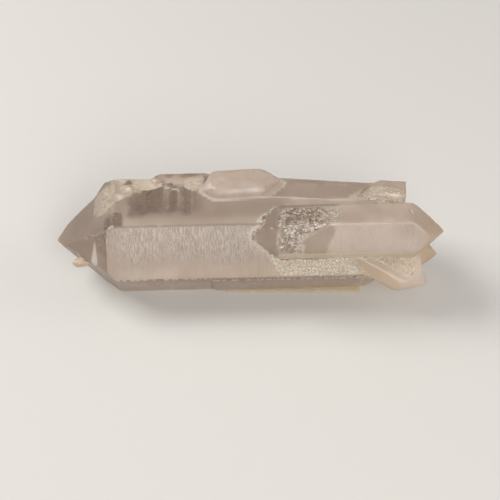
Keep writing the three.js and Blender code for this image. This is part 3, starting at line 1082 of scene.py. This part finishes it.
def growth_streaks(wiring):
    """Fine lines across the prism: noise squeezed along the axis, broken up by a finer grain."""
    streaks = wiring.noise(wiring.stretched((9400, 600, 600)), 1.0, 1.0, 0.5)
    grain = wiring.noise(wiring.stretched((8800, 4200, 4200)), 1.0, 1.0)
    return wiring.math("MULTIPLY_ADD", grain, 0.42, wiring.math("MULTIPLY", streaks, 0.58))


def quartz_colour(wiring, colours):
    """Colour of the quartz: milky to pale by crystal, smoky where clear, then lines, cream and white, with
    painted shade and highlights.
    """
    plain = wiring.stretched((1, 1, 1))
    clouds = wiring.noise(plain, 130, 3.0)
    base = wiring.blend(wiring.mask("milk"), (*colours.milky, 1), (*colours.pale, 1))
    base = wiring.blend(wiring.ramp(clouds, 0.35, 0.7, 0.0, 0.55), base, (*colours.rose, 1))
    warmer = wiring.ramp(wiring.noise(plain, 210, 2.0), 0.4, 0.65)
    smoky = wiring.blend(warmer, (*colours.smoky, 1), (*colours.amber, 1))
    # Smoky where the quartz is clear, and painted shade on the body's lower front side.
    base = wiring.blend(wiring.mask("smoke_and_shade"), base, smoky)
    # Faintly yellow quartz, with a painted warm highlight at the front crystal's right end.
    base = wiring.blend(wiring.mask("gold"), base, (*colours.gold, 1))
    base = wiring.blend(wiring.math("MULTIPLY", wiring.mask("veil"), 0.42), base, (*colours.pale, 1))
    base = wiring.blend(wiring.math("MULTIPLY", wiring.mask("lines"), 0.75), base, (*colours.shade, 1))
    # Pale streaks along the growth lines: the lines' own pale colour and painted sheen where their steps catch
    # the light.
    share = wiring.math("MULTIPLY", wiring.mask("lines"), wiring.ramp(growth_streaks(wiring), 0.44, 0.57))
    base = wiring.blend(share, base, (*colours.line, 1))
    grains = wiring.noise(plain, 900, 2.0)
    share = wiring.math("MULTIPLY", wiring.mask("cream"), wiring.ramp(grains, 0.3, 0.6, 0.7, 1.0))
    base = wiring.blend(share, base, (*colours.cream, 1))
    speckled = wiring.ramp(wiring.noise(plain, 3400, 1.0), 0.36, 0.6)
    share = wiring.math("MULTIPLY", wiring.mask("frost"), speckled)
    base = wiring.blend(share, base, (*colours.broken, 1))
    # White marks, among them painted glints in the window.
    base = wiring.blend(wiring.mask("marks"), base, (*colours.broken, 1))
    # Painted glints: white specks on amber in the crazed window, standing in for the light that its fracture
    # catches.
    dense = wiring.ramp(wiring.noise(plain, 900, 1.0), 0.35, 0.65, 0.84, 0.35)
    painted_glint = wiring.math("GREATER_THAN", wiring.cells(plain, 4600), dense)
    crazed = wiring.blend(painted_glint, (*colours.amber, 1), (*colours.broken, 1))
    base = wiring.blend(wiring.math("MULTIPLY", wiring.mask("crazed"), 0.9), base, crazed)
    # Painted shade: the grooves and the lines inside the long edges are darkened towards the smoky colour.
    return wiring.blend(wiring.math("MULTIPLY", wiring.mask("painted_shade"), 0.8), base, (*colours.smoky, 1))


def quartz_roughness(wiring):
    """Roughness: frosted all over, glassy where the crystal is clear and on the faces of the small points."""
    plain = wiring.stretched((1, 1, 1))
    frosted = wiring.ramp(wiring.noise(plain, 500, 3.0), 0.3, 0.7, 0.33, 0.46)
    glassy = wiring.ramp(wiring.mask("smoke_and_shade"), 0.4, 1.0, 0.0, 0.12)
    base = wiring.math("SUBTRACT", frosted, glassy)
    base = wiring.math("MULTIPLY_ADD", wiring.mask("matt"), 0.16, base)
    return wiring.math("SUBTRACT", base, wiring.math("MULTIPLY", wiring.mask("spark"), 0.16))


def quartz_relief(wiring):
    """Fine relief: growth lines, the frosting's grain and small chips on crusts and broken edges."""
    plain = wiring.stretched((1, 1, 1))
    lines = wiring.math("MULTIPLY", growth_streaks(wiring), wiring.mask("lines"))
    normal = wiring.bump(lines, 0.0002, 0.8)
    grain = wiring.noise(plain, 2600, 3.0, 0.6)
    grain = wiring.math("MULTIPLY", grain, wiring.ramp(wiring.mask("smoke_and_shade"), 0.0, 0.5, 1.0, 0.25))
    normal = wiring.bump(grain, 0.00003, 0.35, normal)
    chips = wiring.math("MULTIPLY", wiring.cells(plain, 2100, "Distance"), wiring.mask("frost"))
    return wiring.bump(chips, 0.00012, 0.8, normal)


def quartz_material(colours, glass):
    """Milky quartz: one see-through shader with plain transmission, index, absorption and mixed colour."""
    material = bpy.data.materials.new("milky_quartz")
    material.use_nodes = True
    wiring = Wiring(material)
    shader = wiring.nodes["Principled BSDF"]
    wiring.put(shader, "Base Color", quartz_colour(wiring, colours))
    wiring.put(shader, "Roughness", quartz_roughness(wiring))
    wiring.put(shader, "Normal", quartz_relief(wiring))
    shader.inputs["Transmission Weight"].default_value = glass.transmission
    shader.inputs["IOR"].default_value = glass.index
    depth = wiring.add("ShaderNodeVolumeAbsorption")
    depth.inputs["Color"].default_value = (*glass.absorption_colour, 1)
    depth.inputs["Density"].default_value = glass.absorption_density
    wiring.put(wiring.nodes["Material Output"], "Volume", depth.outputs["Volume"])
    return material


def plain_material(name, colour, roughness):
    """One colour and one roughness all over."""
    material = bpy.data.materials.new(name)
    material.use_nodes = True
    shader = material.node_tree.nodes["Principled BSDF"]
    shader.inputs["Base Color"].default_value = (*colour, 1)
    shader.inputs["Roughness"].default_value = roughness
    return material


def colour_property(name, description, default):
    """A colour setting."""
    return bpy.props.FloatVectorProperty(
        name=name, description=description, default=default, size=3, min=0, max=1, subtype="COLOR")


class QuartzSizes(bpy.types.PropertyGroup):
    edge_wear: bpy.props.FloatProperty(
        name="Edge wear", description="How far worn edges are pulled in", default=0.00011, unit="LENGTH")
    growth_depth: bpy.props.FloatProperty(
        name="Growth line depth", description="Height of the growth lines on the prism sides",
        default=0.00009, unit="LENGTH")
    crease_angle_degrees: bpy.props.FloatProperty(
        name="Crease angle", description="Edges sharper than this, in degrees, stay sharp", default=34.0)


class QuartzColours(bpy.types.PropertyGroup):
    milky: colour_property("Milky", "Colour of the duller milky crystals", (0.67, 0.565, 0.49))
    pale: colour_property("Pale", "Colour of the palest crystals", (0.97, 0.84, 0.735))
    rose: colour_property("Rose", "Faint pink clouds in the milky quartz", (0.66, 0.52, 0.44))
    smoky: colour_property("Smoky", "Clear, darker quartz", (0.25, 0.195, 0.165))
    amber: colour_property("Amber", "Warmer parts of the clear quartz", (0.30, 0.225, 0.175))
    # Pale growth lines: their own colour and painted sheen.
    line: colour_property("Line", "Pale growth lines", (1.0, 0.95, 0.89))
    shade: colour_property("Shade", "Duller quartz between the growth lines", (0.46, 0.38, 0.32))
    gold: colour_property("Gold", "Faintly yellow quartz at the lower edges and points", (0.78, 0.61, 0.40))
    cream: colour_property("Cream", "Chipped and crusted quartz", (1.0, 0.90, 0.68))
    broken: colour_property("Broken", "White broken edges and the tips of small points", (1.0, 0.95, 0.87))


class QuartzGlass(bpy.types.PropertyGroup):
    transmission: bpy.props.FloatProperty(
        name="Transmission", description="Share of light that passes into the crystal",
        default=0.72, min=0, max=1)
    index: bpy.props.FloatProperty(
        name="Index of refraction", description="How strongly the quartz bends light", default=1.544)
    absorption_colour: colour_property(
        "Absorption colour", "Tint of light that crosses the crystal", (0.62, 0.5, 0.4))
    absorption_density: bpy.props.FloatProperty(
        name="Absorption density", description="How fast light fades inside, per metre", default=24.0)


class QuartzStudio(bpy.types.PropertyGroup):
    lens: bpy.props.FloatProperty(name="Lens", description="Focal length in millimetres", default=80.0)
    distance: bpy.props.FloatProperty(
        name="Distance", description="From the camera to its target", default=0.283, unit="LENGTH")
    elevation: bpy.props.FloatProperty(
        name="Elevation", description="Camera's angle above the table",
        default=math.radians(47.0), subtype="ANGLE")
    azimuth: bpy.props.FloatProperty(
        name="Azimuth", description="Camera's angle round the cluster",
        default=math.radians(-1.8), subtype="ANGLE")
    target: bpy.props.FloatVectorProperty(
        name="Target", description="Point the camera looks at",
        default=(0.00069, -0.00152, 0.009), unit="LENGTH")
    floor_size: bpy.props.FloatProperty(
        name="Floor size", description="Side of the square floor", default=6.0, unit="LENGTH")
    floor_colour: colour_property("Floor colour", "Plain pale floor", (0.52, 0.51, 0.49))
    key_power: bpy.props.FloatProperty(
        name="Key power", description="Soft light from above and behind", default=3.9)
    fill_power: bpy.props.FloatProperty(
        name="Fill power", description="Soft light from the front", default=4.7)
    side_power: bpy.props.FloatProperty(
        name="Side power", description="Weak light from the right", default=0.8)
    sky: bpy.props.FloatProperty(name="Sky", description="Strength of the light from all round", default=0.32)


class QUARTZ_OT_cluster(bpy.types.Operator):
    """Build the cluster's skin and give it its milky quartz"""
    bl_idname = "quartz.cluster"
    bl_label = "Quartz cluster"

    def execute(self, context):
        scene = context.scene
        skin = cluster_skin(scene.quartz_sizes)
        skin.data.materials.clear()
        skin.data.materials.append(quartz_material(scene.quartz_colours, scene.quartz_glass))
        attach(skin, "root")
        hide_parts("quartz_cluster")
        return {"FINISHED"}


class QUARTZ_OT_studio(bpy.types.Operator):
    """Set up the floor, the soft lights and the camera"""
    bl_idname = "quartz.studio"
    bl_label = "Studio"

    def execute(self, context):
        studio = context.scene.quartz_studio
        make_floor(studio)
        make_lights(studio)
        make_camera(studio)
        context.scene.view_settings.view_transform = "Standard"
        return {"FINISHED"}


def make_floor(studio):
    """A square floor just under the cluster."""
    half = studio.floor_size / 2
    level = -FLOOR_DROP
    corners = [(-half, -half, level), (half, -half, level), (half, half, level), (-half, half, level)]
    mesh = bpy.data.meshes.new("floor")
    mesh.from_pydata(corners, [], [(0, 1, 2, 3)])
    mesh.materials.append(plain_material("floor_paper", studio.floor_colour, 0.85))
    floor = bpy.data.objects.new("floor", mesh)
    bpy.context.collection.objects.link(floor)


def soft_light(name, place, size, power, colour):
    """A square area light that faces the cluster."""
    data = bpy.data.lights.new(name, "AREA")
    data.size = size
    data.energy = power
    data.color = colour
    light = bpy.data.objects.new(name, data)
    light.location = place
    light.rotation_euler = (-Vector(place)).to_track_quat("-Z", "Y").to_euler()
    bpy.context.collection.objects.link(light)


def make_lights(studio):
    """The three soft lights, and an even light from all round."""
    soft_light("key", KEY_PLACE, KEY_SIZE, studio.key_power, WARM_WHITE)
    soft_light("fill", FILL_PLACE, FILL_SIZE, studio.fill_power, WARM_WHITE)
    soft_light("side", SIDE_PLACE, SIDE_SIZE, studio.side_power, WARMER_WHITE)
    world = bpy.data.worlds.new("studio")
    world.use_nodes = True
    background = world.node_tree.nodes["Background"]
    background.inputs["Color"].default_value = (*COOL_WHITE, 1)
    background.inputs["Strength"].default_value = studio.sky
    bpy.context.scene.world = world


def make_camera(studio):
    """A camera on the sphere round its target, at the studio's elevation and azimuth."""
    data = bpy.data.cameras.new("camera")
    data.lens = studio.lens
    data.sensor_width = 36.0
    data.clip_start = 0.01
    data.clip_end = 20.0
    camera = bpy.data.objects.new("camera", data)
    up, round_it = studio.elevation, studio.azimuth
    back = Vector((math.sin(round_it) * math.cos(up), -math.cos(round_it) * math.cos(up), math.sin(up)))
    camera.location = Vector(studio.target) + back * studio.distance
    camera.rotation_euler = (-back).to_track_quat("-Z", "Y").to_euler()
    bpy.context.collection.objects.link(camera)
    bpy.context.scene.camera = camera


class QUARTZ_PT_panel(bpy.types.Panel):
    """Sidebar panel that lists the pieces and their settings"""
    bl_idname = "QUARTZ_PT_panel"
    bl_label = "Quartz cluster"
    bl_space_type = "VIEW_3D"
    bl_region_type = "UI"
    bl_category = "Quartz"

    def draw(self, context):
        for operator, group in ((QUARTZ_OT_cluster, "quartz_sizes"), (None, "quartz_colours"),
                                (None, "quartz_glass"), (QUARTZ_OT_studio, "quartz_studio")):
            box = self.layout.box()
            if operator is not None:
                box.operator(operator.bl_idname)
            settings = getattr(context.scene, group)
            for name in settings.__annotations__:
                box.prop(settings, name)


GROUPS = {"quartz_sizes": QuartzSizes, "quartz_colours": QuartzColours, "quartz_glass": QuartzGlass,
          "quartz_studio": QuartzStudio}
CLASSES = (*GROUPS.values(), QUARTZ_OT_cluster, QUARTZ_OT_studio, QUARTZ_PT_panel)


def register():
    for each in CLASSES:
        bpy.utils.register_class(each)
    for name, group in GROUPS.items():
        setattr(bpy.types.Scene, name, bpy.props.PointerProperty(type=group))


def unregister():
    for name in GROUPS:
        delattr(bpy.types.Scene, name)
    for each in reversed(CLASSES):
        bpy.utils.unregister_class(each)


def main():
    register()
    bpy.ops.quartz.studio()
    bpy.ops.quartz.cluster()


if __name__ == "__main__":
    main()
